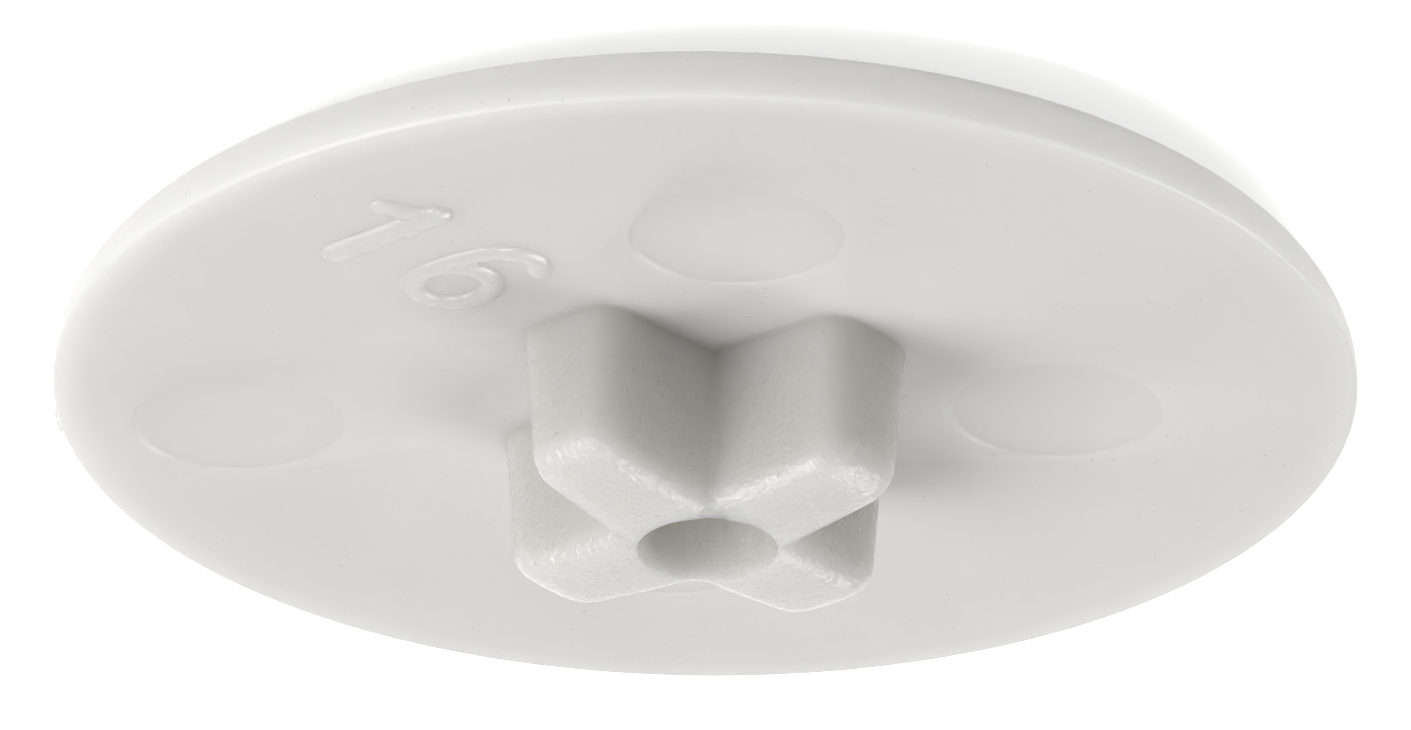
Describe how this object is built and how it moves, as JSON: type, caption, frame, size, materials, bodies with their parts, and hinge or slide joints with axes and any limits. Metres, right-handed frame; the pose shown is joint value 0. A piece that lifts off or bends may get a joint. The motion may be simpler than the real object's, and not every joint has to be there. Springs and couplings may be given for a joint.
{
  "type": "screw cover cap",
  "caption": "Round moulded plastic cap with a low domed face and a cored cross peg that presses into the recess of a screw head to hide it.",
  "frame": {"origin": "lowest point of the show face's dome, on the cap's own axis", "axes": "+Z along the cap's axis, from the show face to the end of the peg; the peg's lobes run along X and Y"},
  "size_m": [0.012, 0.012, 0.0026],
  "materials": {
    "cap_plastic": "satin as-moulded plastic, warm light grey"
  },
  "bodies": {
    "root": {"cover_cap": "cap_plastic"}
  },
  "joints": []
}
